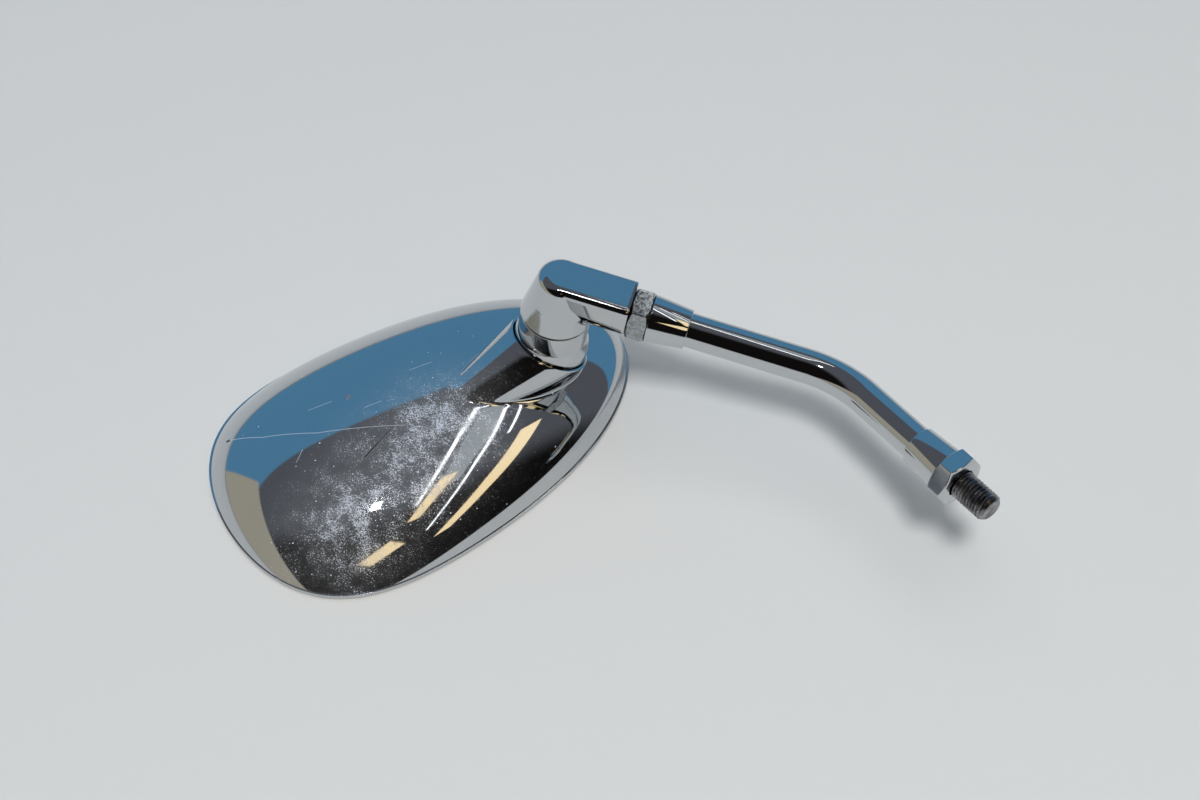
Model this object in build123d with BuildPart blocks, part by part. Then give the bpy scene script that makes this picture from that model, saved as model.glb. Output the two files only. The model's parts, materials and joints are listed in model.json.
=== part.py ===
from build123d import *
from math import cos, pi, radians, sin, sqrt, tan
import os

os.makedirs("parts", exist_ok=True)

# All sizes are in millimetres and all angles in degrees.

# Head: an egg of revolution about its long axis, flattened in height, that lies on its rim
head_yaw = 34.6  # turn of the long axis from X
half_length = 80.55
half_width = 49.8
head_height = 33.0
egg_fullness = 1.069  # shares of the half-width in the outline's waves
egg_skew = 0.2955
egg_bluntness = 0.0996
egg_nose = 0.0347
outline_spans = 12
tip_flat = 1.0  # half-width of the small flat at each end
wall = 1.8
rim_lip_height = 1.5  # turned-in edge that keeps the glass in
rim_lip_reach = 4.0

# Glass, its rubber channel and its foam sheet
glass_radius = 1200.0  # convex toward the rider
glass_thickness = 2.0
glass_recess = 1.2  # lowest point of the glass above the rim's plane
glass_inset = 4.6  # edge of the glass from the head's outline
gasket_reach = 2.2  # rubber over the edge of the glass
gasket_top = 8.0
seat_gap = 0.1  # rubber to the shell's inner wall
groove_gap = 0.08  # rubber to the glass
pad_thickness = 1.0
pad_inset = 12.0
pad_window = 24.0  # radius of the foam's cut-out under the pivot

# Ball joint: centre in the head's own axes, and the lean of the cup
ball_share = 0.5605  # of the half-length, from the middle toward the narrow end
ball_side = -9.3
ball_height = 31.0
ball_radius = 13.6
ball_flat = 11.0  # depth of the ball's flat foot below its centre
collar_radius = 12.2  # straight collar above the ball
cup_tilt = 32.0
cup_azimuth = 30.0
cup_wall = 1.8
cup_hole_radius = 7.6
cup_lip_radius = 14.9
cup_lip_drop = 1.0  # mouth of the cup below the ball's centre
cup_lip_depth = 1.5
cup_lip_gap = 0.35  # mouth to the ball
fit_gap = 0.1  # running clearance of the spherical faces
liner_thickness = 0.7
liner_inner_angle = 28.0
liner_outer_angle = 47.0

# Fairing: straight ramps from the cup's mouth to a long oval foot in the dome
foot_back = 15.3
foot_height = 24.2
foot_tilt = 13.5
foot_length = 53.0
foot_width = 21.4

# Pivot hardware below the ball, along the post's axis
post_tilt = 8.25
post_azimuth = -7.0
tilt_middle = 7.5  # middle of the tilt's travel, from the rest pose toward the cup's axis
bolt_radius = 3.0
bolt_gap = 0.1
bolt_grip = 9.0  # thread in the elbow
bolt_head_height = 3.0
bolt_head_flats = 10.0
dish_thickness = 1.2
dish_angle = 34.0
dish_land_radius = 6.6
disc_count = 2
disc_radius = 6.3
disc_thickness = 0.6
disc_rise = 0.5
spring_washer_radius = 6.0
spring_washer_thickness = 0.8

# Elbow: tapered post with a flat-topped arm
post_base = 16.4  # post's foot above the ball's centre
post_base_radius = 12.4
post_edge = 0.4
washer_thickness = 0.8
washer_inset = 0.6
arm_turn = -8.2
arm_height = 27.9  # axis of the arm above the ball's centre
arm_length = 24.9
arm_half_width = 8.0
arm_top = 8.5  # flat top above the arm's axis
arm_edge_radius = 3.5
arm_end_edge = 0.6

# Stem: stud, jam nut, tapered collar, bent tube, second collar, lock nut and mounting stud
thread_radius = 5.0
thread_root = 4.35
thread_gap = 0.05
face_gap = 0.1  # between faces that turn on each other
elbow_stud_depth = 15.0
hex_flats = 17.0
jam_nut_length = 6.8
jam_nut_turn = 20.0
hex_chamfer = 0.55  # edge of the end face inside the flats
hex_chamfer_angle = 30.0
upper_collar_length = 13.6
upper_collar_start = 8.3
upper_collar_end = 6.85
collar_socket = 8.0
tube_radius = 6.0
tube_wall = 1.5
bend_distance = 99.3  # elbow's axis to the corner of the bend
bend_angle = 39.0
bend_roll = 14.1
bend_radius = 35.0
lower_run = 51.0  # corner of the bend to the end of the lower collar
lower_collar_length = 13.4
lower_collar_start = 6.8
lower_collar_end = 7.6
lock_nut_length = 6.9
lock_nut_turn = 12.0
stud_length = 13.6  # thread below the lock nut
stud_chamfer = 1.2
stud_depth = 5.0  # mounting stud in the lower collar


def leaning(origin, tilt, azimuth):
    """Plane whose normal leans from Z by tilt toward azimuth, with X down the slope."""
    lean, turn = radians(tilt), radians(azimuth)
    downhill = (cos(lean) * cos(turn), cos(lean) * sin(turn), -sin(lean))
    normal = (sin(lean) * cos(turn), sin(lean) * sin(turn), cos(lean))
    return Plane(origin=origin, x_dir=downhill, z_dir=normal)


def half_outline(inset):
    """Curve of one side of the head's outline, drawn in by inset, from the wide end to the narrow end."""
    length, width = half_length - inset, half_width - inset
    points = [(-length, tip_flat)]
    for step in range(1, outline_spans):
        turn = pi * step / outline_spans
        waves = egg_fullness + egg_skew * cos(turn) + egg_bluntness * cos(2 * turn) + egg_nose * cos(3 * turn)
        points.append((-length * cos(turn), width * sin(turn) * waves))
    points.append((length, tip_flat))
    return Spline(*points, tangents=[(0, 1), (0, -1)], tangent_scalars=[1, 1])


def egg(inset, height, bottom):
    """Egg above bottom: the outline turned about the long axis in the rim's plane and flattened to height."""
    with BuildPart() as body:
        with BuildSketch(head_plane):
            with BuildLine():
                side = half_outline(inset)
                Polyline(side @ 1, (half_length - inset, 0), (inset - half_length, 0), side @ 0)
            make_face()
        revolve(axis=Axis((0, 0, 0), head_plane.x_dir))
        scale(by=(1, 1, height / (half_width - inset)))
        split(bisect_by=Plane.XY.offset(bottom), keep=Keep.TOP)
    return body.part


def prism(inset, bottom, top):
    """Upright block over the whole outline, drawn in by inset."""
    with BuildPart() as body:
        with BuildSketch(head_plane.offset(bottom)):
            with BuildLine():
                side = half_outline(inset)
                Line(side @ 1, (half_length - inset, 0))
                Line(side @ 0, (inset - half_length, 0))
                mirror(about=Plane.XZ)
            make_face()
        extrude(amount=top - bottom)
    return body.part


def convex_plate(inset, depth, thickness):
    """Plate of the glass's curve, convex downward, that starts at depth behind the front of the glass."""
    with BuildPart() as body:
        add(prism(inset, 0, gasket_top))
        with Locations((0, 0, glass_recess + glass_radius)):
            Sphere(glass_radius - depth, mode=Mode.INTERSECT)
            Sphere(glass_radius - depth - thickness, mode=Mode.SUBTRACT)
    return body.part


def hexagon_nut(plane, length, turn, bore):
    """Hexagon nut with both ends chamfered, from plane upward."""
    outside = hex_flats / sqrt(3) + hex_chamfer
    land = hex_flats / 2 - hex_chamfer
    drop = (outside - land) * tan(radians(hex_chamfer_angle))
    with BuildPart() as nut:
        with BuildSketch(plane):
            RegularPolygon(hex_flats / 2, 6, major_radius=False, rotation=turn)
        extrude(amount=length)
        with BuildSketch(Plane(origin=plane.origin, x_dir=plane.x_dir, z_dir=-plane.y_dir)):
            with BuildLine():
                Polyline(
                    (0, 0),
                    (land, 0),
                    (outside, drop),
                    (outside, length - drop),
                    (land, length),
                    (0, length),
                    close=True,
                )
            make_face()
        revolve(axis=Axis(plane.origin, plane.z_dir), mode=Mode.INTERSECT)
        with BuildSketch(plane):
            Circle(bore)
        extrude(amount=length, mode=Mode.SUBTRACT)
    return nut


def turned(plane, points):
    """Solid of revolution about the plane's normal, from points given as radius and height."""
    with BuildPart() as body:
        with BuildSketch(Plane(origin=plane.origin, x_dir=plane.x_dir, z_dir=-plane.y_dir)):
            with BuildLine():
                Polyline(*points, close=True)
            make_face()
        revolve(axis=Axis(plane.origin, plane.z_dir))
    return body


# Frames that the pieces share
head_plane = Plane((0, 0, 0), x_dir=(cos(radians(head_yaw)), sin(radians(head_yaw)), 0), z_dir=(0, 0, 1))
ball_center = head_plane.from_local_coords(Vector(ball_share * half_length, ball_side, ball_height))
cup_plane = leaning(ball_center, cup_tilt, cup_azimuth)
cup_downhill = Vector(cos(radians(cup_azimuth)), sin(radians(cup_azimuth)), 0)
foot_center = ball_center - cup_downhill * foot_back
foot_plane = leaning((foot_center.X, foot_center.Y, foot_height), foot_tilt, cup_azimuth)
post_plane = Plane(leaning(ball_center, post_tilt, post_azimuth).location * Rot(0, 0, arm_turn))
tilt_axis = post_plane.z_dir.cross(cup_plane.z_dir).normalized()
middle_dir = post_plane.z_dir.rotate(Axis((0, 0, 0), tilt_axis), tilt_middle)
middle_plane = Plane(origin=ball_center, x_dir=tilt_axis, z_dir=middle_dir)
arm_origin = post_plane.from_local_coords(Vector(0, 0, arm_height))
arm_plane = Plane(origin=arm_origin, x_dir=post_plane.y_dir, z_dir=post_plane.x_dir)

# Radii of the nested spherical faces, from the ball outward
liner_radius = ball_radius + fit_gap + liner_thickness
cup_radius = liner_radius + fit_gap
cup_back_radius = cup_radius + cup_wall
dish_radius = cup_back_radius + fit_gap

# Places along the post below the ball and along the stem
dish_base = dish_radius + dish_thickness
disc_pitch = disc_thickness + disc_rise
spring_base = dish_base + disc_count * disc_pitch
bolt_head_top = spring_base + spring_washer_thickness
jam_nut_start = arm_length + face_gap
upper_start = jam_nut_start + jam_nut_length
upper_end = upper_start + upper_collar_length
tube_start = upper_end - collar_socket
bend_corner = arm_plane.from_local_coords(Vector(0, 0, bend_distance))
lower_local = Vector(
    -sin(radians(bend_angle)) * cos(radians(bend_roll)),
    sin(radians(bend_angle)) * sin(radians(bend_roll)),
    cos(radians(bend_angle)),
)
lower_dir = arm_plane.from_local_coords(lower_local) - arm_plane.origin
lower_side = lower_dir.cross(post_plane.z_dir).normalized()
lower_plane = Plane(origin=bend_corner, x_dir=lower_side, z_dir=lower_dir)
lower_start = lower_run - lower_collar_length
tube_end = lower_start + collar_socket

# Inside of the head round the back of the cup, and the opening in the turned-in rim
with BuildPart() as head_hollow:
    add(egg(wall, head_height - wall, rim_lip_height))
    add(prism(wall + rim_lip_reach, -rim_lip_height, gasket_top))
    with Locations(ball_center):
        Sphere(cup_back_radius, mode=Mode.SUBTRACT)

# Fairing from the cup's mouth down to its oval foot
with BuildPart() as fairing:
    with BuildSketch(cup_plane.offset(-cup_lip_drop)):
        Circle(cup_lip_radius)
    with BuildSketch(foot_plane):
        Ellipse(foot_length / 2, foot_width / 2)
    loft(ruled=True)

# Room for the ball and its liner, narrowed at the mouth
with BuildPart() as cup_room:
    with Locations(ball_center):
        Sphere(cup_radius)
    split(bisect_by=cup_plane.offset(-cup_lip_drop - cup_lip_depth), keep=Keep.BOTTOM)
    with BuildSketch(cup_plane.offset(-cup_lip_drop - cup_lip_depth)):
        Circle(ball_radius + cup_lip_gap)
    extrude(amount=cup_back_radius)

# Chromed casting: dome, fairing, cup and turned-in rim in one piece
with BuildPart() as mirror_shell:
    add(egg(0, head_height, 0))
    add(fairing.part)
    add(cup_room.part, mode=Mode.SUBTRACT)
    add(head_hollow.part, mode=Mode.SUBTRACT)
    with BuildSketch(middle_plane.offset(-cup_back_radius)):
        Circle(cup_hole_radius)
    extrude(amount=cup_radius, mode=Mode.SUBTRACT)

# Convex silvered glass
with BuildPart() as mirror_glass:
    add(convex_plate(glass_inset, 0, glass_thickness))

# Rubber channel round the edge of the glass, held behind the rim
with BuildPart() as glass_gasket:
    add(egg(wall + seat_gap, head_height - wall - seat_gap, rim_lip_height))
    split(bisect_by=Plane.XY.offset(gasket_top), keep=Keep.BOTTOM)
    add(prism(glass_inset + gasket_reach, 0, gasket_top), mode=Mode.SUBTRACT)
    groove_width = glass_thickness + 2 * groove_gap
    add(convex_plate(glass_inset - groove_gap, -groove_gap, groove_width), mode=Mode.SUBTRACT)

# Foam sheet on the back of the glass, open under the pivot
with BuildPart() as backing_pad:
    add(convex_plate(pad_inset, glass_thickness, pad_thickness))
    with BuildSketch(Plane((ball_center.X, ball_center.Y, 0))):
        Circle(pad_window)
    extrude(amount=gasket_top, mode=Mode.SUBTRACT)

# Nylon liner: a zone of a thin sphere between the ball and the cup
post_section = Plane(origin=ball_center, x_dir=post_plane.x_dir, z_dir=-post_plane.y_dir)
with BuildPart() as friction_liner:
    with BuildSketch(post_section):
        with BuildLine():
            sweep_angle = liner_outer_angle - liner_inner_angle
            inner = CenterArc((0, 0), ball_radius + fit_gap, liner_inner_angle - 90, sweep_angle)
            outer = CenterArc((0, 0), liner_radius, liner_inner_angle - 90, sweep_angle)
            Line(inner @ 0, outer @ 0)
            Line(inner @ 1, outer @ 1)
        make_face()
    revolve(axis=Axis(ball_center, post_plane.z_dir))

# Chromed ball with a straight collar up to the elbow
collar_rise = sqrt(ball_radius**2 - collar_radius**2)
collar_top = post_base - washer_thickness
with BuildPart() as pivot_ball:
    with BuildSketch(post_section):
        with BuildLine():
            foot_edge = (sqrt(ball_radius**2 - ball_flat**2), -ball_flat)
            ball_arc = ThreePointArc(foot_edge, (ball_radius, 0), (collar_radius, collar_rise))
            Polyline(
                ball_arc @ 1,
                (collar_radius, collar_top - post_edge),
                (collar_radius - post_edge, collar_top),
                (bolt_radius + bolt_gap, collar_top),
                (bolt_radius + bolt_gap, -ball_flat),
                ball_arc @ 0,
            )
        make_face()
    revolve(axis=Axis(ball_center, post_plane.z_dir))

# Thin dark washer between the collar and the elbow
elbow_washer = turned(
    post_plane,
    [
        (bolt_radius + bolt_gap, collar_top),
        (collar_radius - washer_inset, collar_top),
        (collar_radius - washer_inset, post_base),
        (bolt_radius + bolt_gap, post_base),
    ],
)

# Spherical washer that slides on the back of the cup, with a flat land for the springs
dish_rim_angle = radians(dish_angle)
with BuildPart() as dished_washer:
    with BuildSketch(post_section):
        with BuildLine():
            hole = bolt_radius + bolt_gap
            hole_depth = -sqrt(dish_radius**2 - hole**2)
            face = RadiusArc(
                (hole, hole_depth),
                (dish_radius * sin(dish_rim_angle), -dish_radius * cos(dish_rim_angle)),
                -dish_radius,
            )
            Polyline(
                face @ 1,
                (dish_base * sin(dish_rim_angle), -dish_base * cos(dish_rim_angle)),
                (dish_land_radius, -dish_base),
                (hole, -dish_base),
                face @ 0,
            )
        make_face()
    revolve(axis=Axis(ball_center, post_plane.z_dir))

# Disc springs, each a shallow cone, stacked one way up and the other
with BuildPart() as disc_springs:
    for disc in range(disc_count):
        level = -dish_base - disc * disc_pitch
        outer_drop, inner_drop = (0, disc_rise) if disc % 2 == 0 else (disc_rise, 0)
        with BuildSketch(post_section):
            with BuildLine():
                Polyline(
                    (disc_radius, level - outer_drop),
                    (disc_radius, level - outer_drop - disc_thickness),
                    (bolt_radius + bolt_gap, level - inner_drop - disc_thickness),
                    (bolt_radius + bolt_gap, level - inner_drop),
                    close=True,
                )
            make_face()
    revolve(axis=Axis(ball_center, post_plane.z_dir))

# Flat washer under the head of the bolt
spring_washer = turned(
    post_plane,
    [
        (bolt_radius + bolt_gap, -spring_base),
        (spring_washer_radius, -spring_base),
        (spring_washer_radius, -bolt_head_top),
        (bolt_radius + bolt_gap, -bolt_head_top),
    ],
)

# Hexagon-headed bolt from inside the head, up through the cup and the ball into the elbow
with BuildPart() as pivot_bolt:
    with BuildSketch(post_plane.offset(-bolt_head_top - bolt_head_height)):
        RegularPolygon(bolt_head_flats / 2, 6, major_radius=False)
    extrude(amount=bolt_head_height)
    with BuildSketch(post_plane.offset(-bolt_head_top)):
        Circle(bolt_radius)
    extrude(amount=bolt_head_top + post_base + bolt_grip)

# Die-cast elbow: tapered round post, flat-topped arm with a round belly
post_top = arm_height + arm_top
with BuildPart() as elbow:
    with BuildSketch(post_section):
        with BuildLine():
            Polyline(
                (0, post_base),
                (post_base_radius - post_edge, post_base),
                (post_base_radius, post_base + post_edge),
                (arm_half_width, post_top),
                (0, post_top),
                close=True,
            )
        make_face()
        fillet(vertices().group_by(Axis.Y)[-1].sort_by(Axis.X)[-1], arm_edge_radius)
    revolve(axis=Axis(ball_center, post_plane.z_dir))
    with BuildSketch(arm_plane):
        with BuildLine():
            belly = ThreePointArc((-arm_half_width, 0), (0, -arm_half_width), (arm_half_width, 0))
            Polyline(belly @ 1, (arm_half_width, arm_top), (-arm_half_width, arm_top), belly @ 0)
        make_face()
        fillet(vertices().group_by(Axis.Y)[-1], arm_edge_radius)
    extrude(amount=arm_length)
    chamfer(faces().sort_by(Axis(arm_plane.origin, arm_plane.z_dir))[-1].edges(), arm_end_edge)
    with BuildSketch(arm_plane.offset(arm_length - elbow_stud_depth)):
        Circle(thread_radius + thread_gap)
    extrude(amount=elbow_stud_depth, mode=Mode.SUBTRACT)
    with BuildSketch(post_plane.offset(post_base)):
        Circle(bolt_radius + thread_gap)
    extrude(amount=bolt_grip + face_gap, mode=Mode.SUBTRACT)

# Threaded stud from the stem through the jam nut into the elbow
elbow_stud_start = arm_length - elbow_stud_depth + face_gap
with BuildPart() as elbow_stud:
    with BuildSketch(arm_plane.offset(elbow_stud_start)):
        Circle(thread_radius)
    extrude(amount=tube_start - elbow_stud_start)

# Dull hexagon nut that locks the stem in the elbow
jam_nut_plane = arm_plane.offset(jam_nut_start)
jam_nut = hexagon_nut(jam_nut_plane, jam_nut_length, jam_nut_turn, thread_radius + thread_gap)

# Tapered collar on the upper end of the tube
upper_collar = turned(
    arm_plane,
    [
        (thread_radius + thread_gap, upper_start),
        (upper_collar_start, upper_start),
        (upper_collar_end, upper_end),
        (tube_radius + thread_gap, upper_end),
        (tube_radius + thread_gap, tube_start),
        (thread_radius + thread_gap, tube_start),
    ],
)

# Bent chromed tube
with BuildPart() as stem_tube:
    with BuildLine() as stem_path:
        FilletPolyline(
            arm_plane.offset(tube_start).origin,
            bend_corner,
            lower_plane.offset(tube_end).origin,
            radius=bend_radius,
        )
    with BuildSketch(arm_plane.offset(tube_start)):
        Circle(tube_radius)
        Circle(tube_radius - tube_wall, mode=Mode.SUBTRACT)
    sweep(path=stem_path.line)

# Tapered collar on the lower end of the tube
lower_collar = turned(
    lower_plane,
    [
        (tube_radius + thread_gap, lower_start),
        (lower_collar_start, lower_start),
        (lower_collar_end, lower_run),
        (thread_root + thread_gap, lower_run),
        (thread_root + thread_gap, tube_end),
        (tube_radius + thread_gap, tube_end),
    ],
)

# Chromed lock nut on the mounting stud
lock_nut_plane = lower_plane.offset(lower_run)
lock_nut = hexagon_nut(lock_nut_plane, lock_nut_length, lock_nut_turn, thread_radius + thread_gap)

# Dark mounting stud with a chamfered tip, down to the thread's root inside the nut and the collar
stud_tip = lower_run + lock_nut_length + stud_length
mount_stud = turned(
    lower_plane,
    [
        (0, lower_run - stud_depth),
        (thread_root, lower_run - stud_depth),
        (thread_root, lower_run + lock_nut_length),
        (thread_radius, lower_run + lock_nut_length),
        (thread_radius, stud_tip - stud_chamfer),
        (thread_radius - stud_chamfer, stud_tip),
        (0, stud_tip),
    ],
)

# The origin is the middle of the whole mirror's box, on the rim's plane
pieces = {
    "mirror_shell": mirror_shell,
    "mirror_glass": mirror_glass,
    "glass_gasket": glass_gasket,
    "backing_pad": backing_pad,
    "friction_liner": friction_liner,
    "dished_washer": dished_washer,
    "disc_springs": disc_springs,
    "spring_washer": spring_washer,
    "pivot_bolt": pivot_bolt,
    "pivot_ball": pivot_ball,
    "elbow_washer": elbow_washer,
    "elbow": elbow,
    "elbow_stud": elbow_stud,
    "jam_nut": jam_nut,
    "upper_collar": upper_collar,
    "stem_tube": stem_tube,
    "lower_collar": lower_collar,
    "lock_nut": lock_nut,
    "mount_stud": mount_stud,
}
box = Compound([piece.part for piece in pieces.values()]).bounding_box()
to_origin = Location((-box.center().X, -box.center().Y, -box.min.Z))
for label, piece in pieces.items():
    placed = piece.part.moved(to_origin)
    placed.label = label
    export_step(placed, f"parts/{label}.step")

# Joint axes and mount places in the part's frame
for title, plane in {"ball": post_plane, "cup": cup_plane, "arm": arm_plane, "lower": lower_plane}.items():
    origin = plane.origin + to_origin.position
    print(title, tuple(origin), tuple(plane.x_dir), tuple(plane.z_dir))
print("tilt axis", tuple(tilt_axis))
print("box", tuple(box.size))
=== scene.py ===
import json

import bpy
import numpy as np
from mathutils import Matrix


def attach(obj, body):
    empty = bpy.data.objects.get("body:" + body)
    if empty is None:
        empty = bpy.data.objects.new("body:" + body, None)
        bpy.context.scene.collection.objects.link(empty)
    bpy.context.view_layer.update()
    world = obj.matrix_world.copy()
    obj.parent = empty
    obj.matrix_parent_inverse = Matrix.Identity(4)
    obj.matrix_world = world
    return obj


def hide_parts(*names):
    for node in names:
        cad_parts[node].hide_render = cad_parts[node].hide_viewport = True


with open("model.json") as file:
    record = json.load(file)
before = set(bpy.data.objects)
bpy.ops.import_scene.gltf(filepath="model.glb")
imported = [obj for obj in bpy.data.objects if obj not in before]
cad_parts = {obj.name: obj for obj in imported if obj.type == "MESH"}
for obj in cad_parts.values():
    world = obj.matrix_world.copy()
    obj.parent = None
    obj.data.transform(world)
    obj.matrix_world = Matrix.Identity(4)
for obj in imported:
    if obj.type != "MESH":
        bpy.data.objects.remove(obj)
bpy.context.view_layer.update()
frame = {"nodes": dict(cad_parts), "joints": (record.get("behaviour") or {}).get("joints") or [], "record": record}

# Head shell. A zinc die-casting, polished and chromed: the egg-shaped dome, the faired cup that holds the pivot
# ball and the straight rim with its turned-in edge are one piece. The plating has aged to a haze of fine white
# pits, and it carries one long pale scratch, a black dash and a few short rub marks.
mm = 0.001
half_length, half_width = 80.1, 51.15
egg_waves = (1.069, 0.2955, 0.0996, 0.0347)
head_yaw = np.radians(33.7)
rim_height, rim_step, rim_edge = 2.0, 0.6, 0.2
dome_flatness, dome_sink, wide_end_sink = 0.604, 5.65, 5.0
shell_wall, pocket_wall, pocket_radius, pocket_fade = 1.8, 0.4, 30.0, 6.0
rim_lip_height, rim_lip_reach = 1.5, 4.0
ball_place = (45.457, -9.36, 31.0)
cup_tilt, cup_azimuth = np.radians(32.0), np.radians(30.0)
cup_lip_radius, cup_lip_drop, cup_lip_depth = 14.9, 1.0, 1.5
cup_mouth_radius, cup_radius, cup_back_radius, cup_hole_radius = 13.95, 14.5, 16.3, 7.6
mouth_edge, lip_edge, ramp_start, inner_base_inset = 0.15, 0.3, 0.03, 1.02 * shell_wall
foot_back, foot_height, foot_tilt = 14.5, 19.0, np.radians(14.0)
foot_half_length, foot_half_width = 25.5, 12.5
fairing_round, longest_round, hub_back = 1.6, 0.8, 4.0

joints = {joint["name"]: joint for joint in frame["joints"]}
ball = np.array(joints["ball_turn"]["pos_m"]) / mm
post_axis = np.array(joints["ball_turn"]["axis"])
long_axis = np.array([np.cos(head_yaw), np.sin(head_yaw), 0.0])
cross_axis = np.array([-np.sin(head_yaw), np.cos(head_yaw), 0.0])
up = np.array([0.0, 0.0, 1.0])
head_middle = ball - ball_place[0] * long_axis - ball_place[1] * cross_axis - ball_place[2] * up


def egg_width(along, inset):
    """Half-width of the head at a place along its length. The place is minus the half-length times the cosine of
    an angle, and the half-width is the sine of that angle times a sum of cosine waves of it."""
    turn = np.arccos(np.clip(-along / (half_length - inset), -1, 1))
    waves = sum(share * np.cos(k * turn) for k, share in enumerate(egg_waves))
    return (half_width - inset) * np.sin(turn) * waves


def dome_height(along, across, inset):
    """Height of the dome: flattened circles that meet the outline at the rim, about a line below the rim that sinks
    toward the wide end. It is the root of the flattened half-width squared less the distance across squared, plus the
    line's depth squared, less that depth."""
    share = 1 - np.maximum(along, inset - half_length) / half_length
    depth = dome_sink * share + wide_end_sink * np.maximum(share - 1, 0) ** 2
    flattened = dome_flatness**2 * (egg_width(along, inset) ** 2 - across**2)
    base = rim_height - (1 - dome_flatness) * (inset - rim_step)
    return base + np.sqrt(np.clip(flattened + depth**2, 0, None)) - depth


def inner_height(along, across):
    """Height of the shell's inside: the dome drawn in by the wall, and round the pivot only a thin wall below the
    outside, so that the washer clears. The share of the thin wall falls from one to nothing at the pocket's edge."""
    room = np.hypot(along - ball_place[0], across - ball_place[1])
    thinned = np.clip((pocket_radius - room) / pocket_fade, 0, 1)
    full = dome_height(along, across, shell_wall)
    return full + thinned * (dome_height(along, across, rim_step) - pocket_wall - full)


def head_point(along, across, height):
    """Place in the part's frame, in millimetres, of a place in the head's own axes."""
    places = [np.asarray(v)[..., None] for v in np.broadcast_arrays(along, across, height)]
    return head_middle + places[0] * long_axis + places[1] * cross_axis + places[2] * up


def head_local(point):
    """Along, across and height in the head's own axes of places in the part's frame."""
    away = point - head_middle
    return away @ long_axis, away @ cross_axis, away @ up


def above_dome(point, inset):
    """Height of places over the dome's surface, in millimetres, negative inside it."""
    along, across, height = head_local(point)
    return height - dome_height(along, across, inset)


def halving(inside, low, high, steps=40):
    """Where a test changes along a set of lines: the interval from low, where it is true, to high is halved."""
    for _ in range(steps):
        middle = (low + high) / 2
        kept = inside(middle)
        low, high = np.where(kept, middle, low), np.where(kept, high, middle)
    return (low + high) / 2


def grid_piece(name, rings, caps=(False, False), closed=False, sharp=32.0):
    """Mesh through a grid of places in millimetres, rings by places round: every ring closes on itself, caps
    close the first and last ring with one flat face, and closed joins the last ring to the first. Faces point
    outwards when each ring turns to the right as seen along the way the outside rings go. Edges past the angle
    sharp, in degrees, are shaded sharp."""
    count, around = rings.shape[:2]
    index = np.arange(count * around).reshape(count, around)
    following = np.roll(index, -1, axis=1)
    rows = np.arange(count if closed else count - 1)
    beyond = (rows + 1) % count
    corners = np.stack([index[rows], following[rows], following[beyond], index[beyond]], axis=-1)
    faces = corners.reshape(-1, 4).tolist()
    if caps[0]:
        faces.append(index[0, ::-1].tolist())
    if caps[1]:
        faces.append(index[-1].tolist())
    mesh = bpy.data.meshes.new(name)
    mesh.from_pydata((rings.reshape(-1, 3) * mm).tolist(), [], faces)
    mesh.shade_smooth()
    mesh.set_sharp_from_angle(angle=np.radians(sharp))
    piece = bpy.data.objects.new(name, mesh)
    bpy.context.scene.collection.objects.link(piece)
    return piece


shell_around = 420
turn = np.linspace(0, 2 * np.pi, shell_around, endpoint=False)
cup_axis = np.array([np.sin(cup_tilt) * np.cos(cup_azimuth), np.sin(cup_tilt) * np.sin(cup_azimuth), np.cos(cup_tilt)])
cup_down = np.array([np.cos(cup_tilt) * np.cos(cup_azimuth), np.cos(cup_tilt) * np.sin(cup_azimuth), -np.sin(cup_tilt)])
cup_side = np.cross(cup_axis, cup_down)
level_down = np.array([np.cos(cup_azimuth), np.sin(cup_azimuth), 0.0])
foot_down = np.cos(foot_tilt) * level_down - np.sin(foot_tilt) * up
foot_middle = np.append((ball - foot_back * level_down)[:2], foot_height)


def cup_circle(radius, rise):
    """Circle about the cup's axis at a height over the ball's centre."""
    spread = np.cos(turn)[:, None] * cup_down + np.sin(turn)[:, None] * cup_side
    return ball + rise * cup_axis + radius * spread


lip = cup_circle(cup_lip_radius, -cup_lip_drop)
foot = foot_middle + foot_half_length * np.cos(turn)[:, None] * foot_down
foot = foot + foot_half_width * np.sin(turn)[:, None] * cup_side


def over_dome(share):
    """True where a place that share of the way from the cup's lip to the fairing's foot is above the dome."""
    return above_dome(lip + share[:, None] * (foot - lip), rim_step) > 0


crossing = halving(over_dome, np.zeros(shell_around), np.ones(shell_around))
crease = lip + crossing[:, None] * (foot - lip)
ramp_length = np.linalg.norm(crease - lip, axis=1)
round_start = crease + np.minimum(fairing_round / ramp_length, longest_round)[:, None] * (lip - crease)
crease_along, crease_across, _ = head_local(crease)
hub_along, hub_across, _ = head_local(foot_middle - hub_back * level_down)
spoke = np.stack([crease_along - hub_along, crease_across - hub_across], axis=1)
spoke /= np.linalg.norm(spoke, axis=1)[:, None]


def over_outline(distance):
    """True where a place at a level distance out along each spoke from the crease is inside the head's outline."""
    return np.abs(crease_across + distance * spoke[:, 1]) < egg_width(crease_along + distance * spoke[:, 0], 0)


def dome_place(distance):
    """Place on the dome at a level distance out along each spoke from the crease."""
    along = crease_along + distance * spoke[:, 0]
    across = crease_across + distance * spoke[:, 1]
    return head_point(along, across, dome_height(along, across, rim_step))


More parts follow.
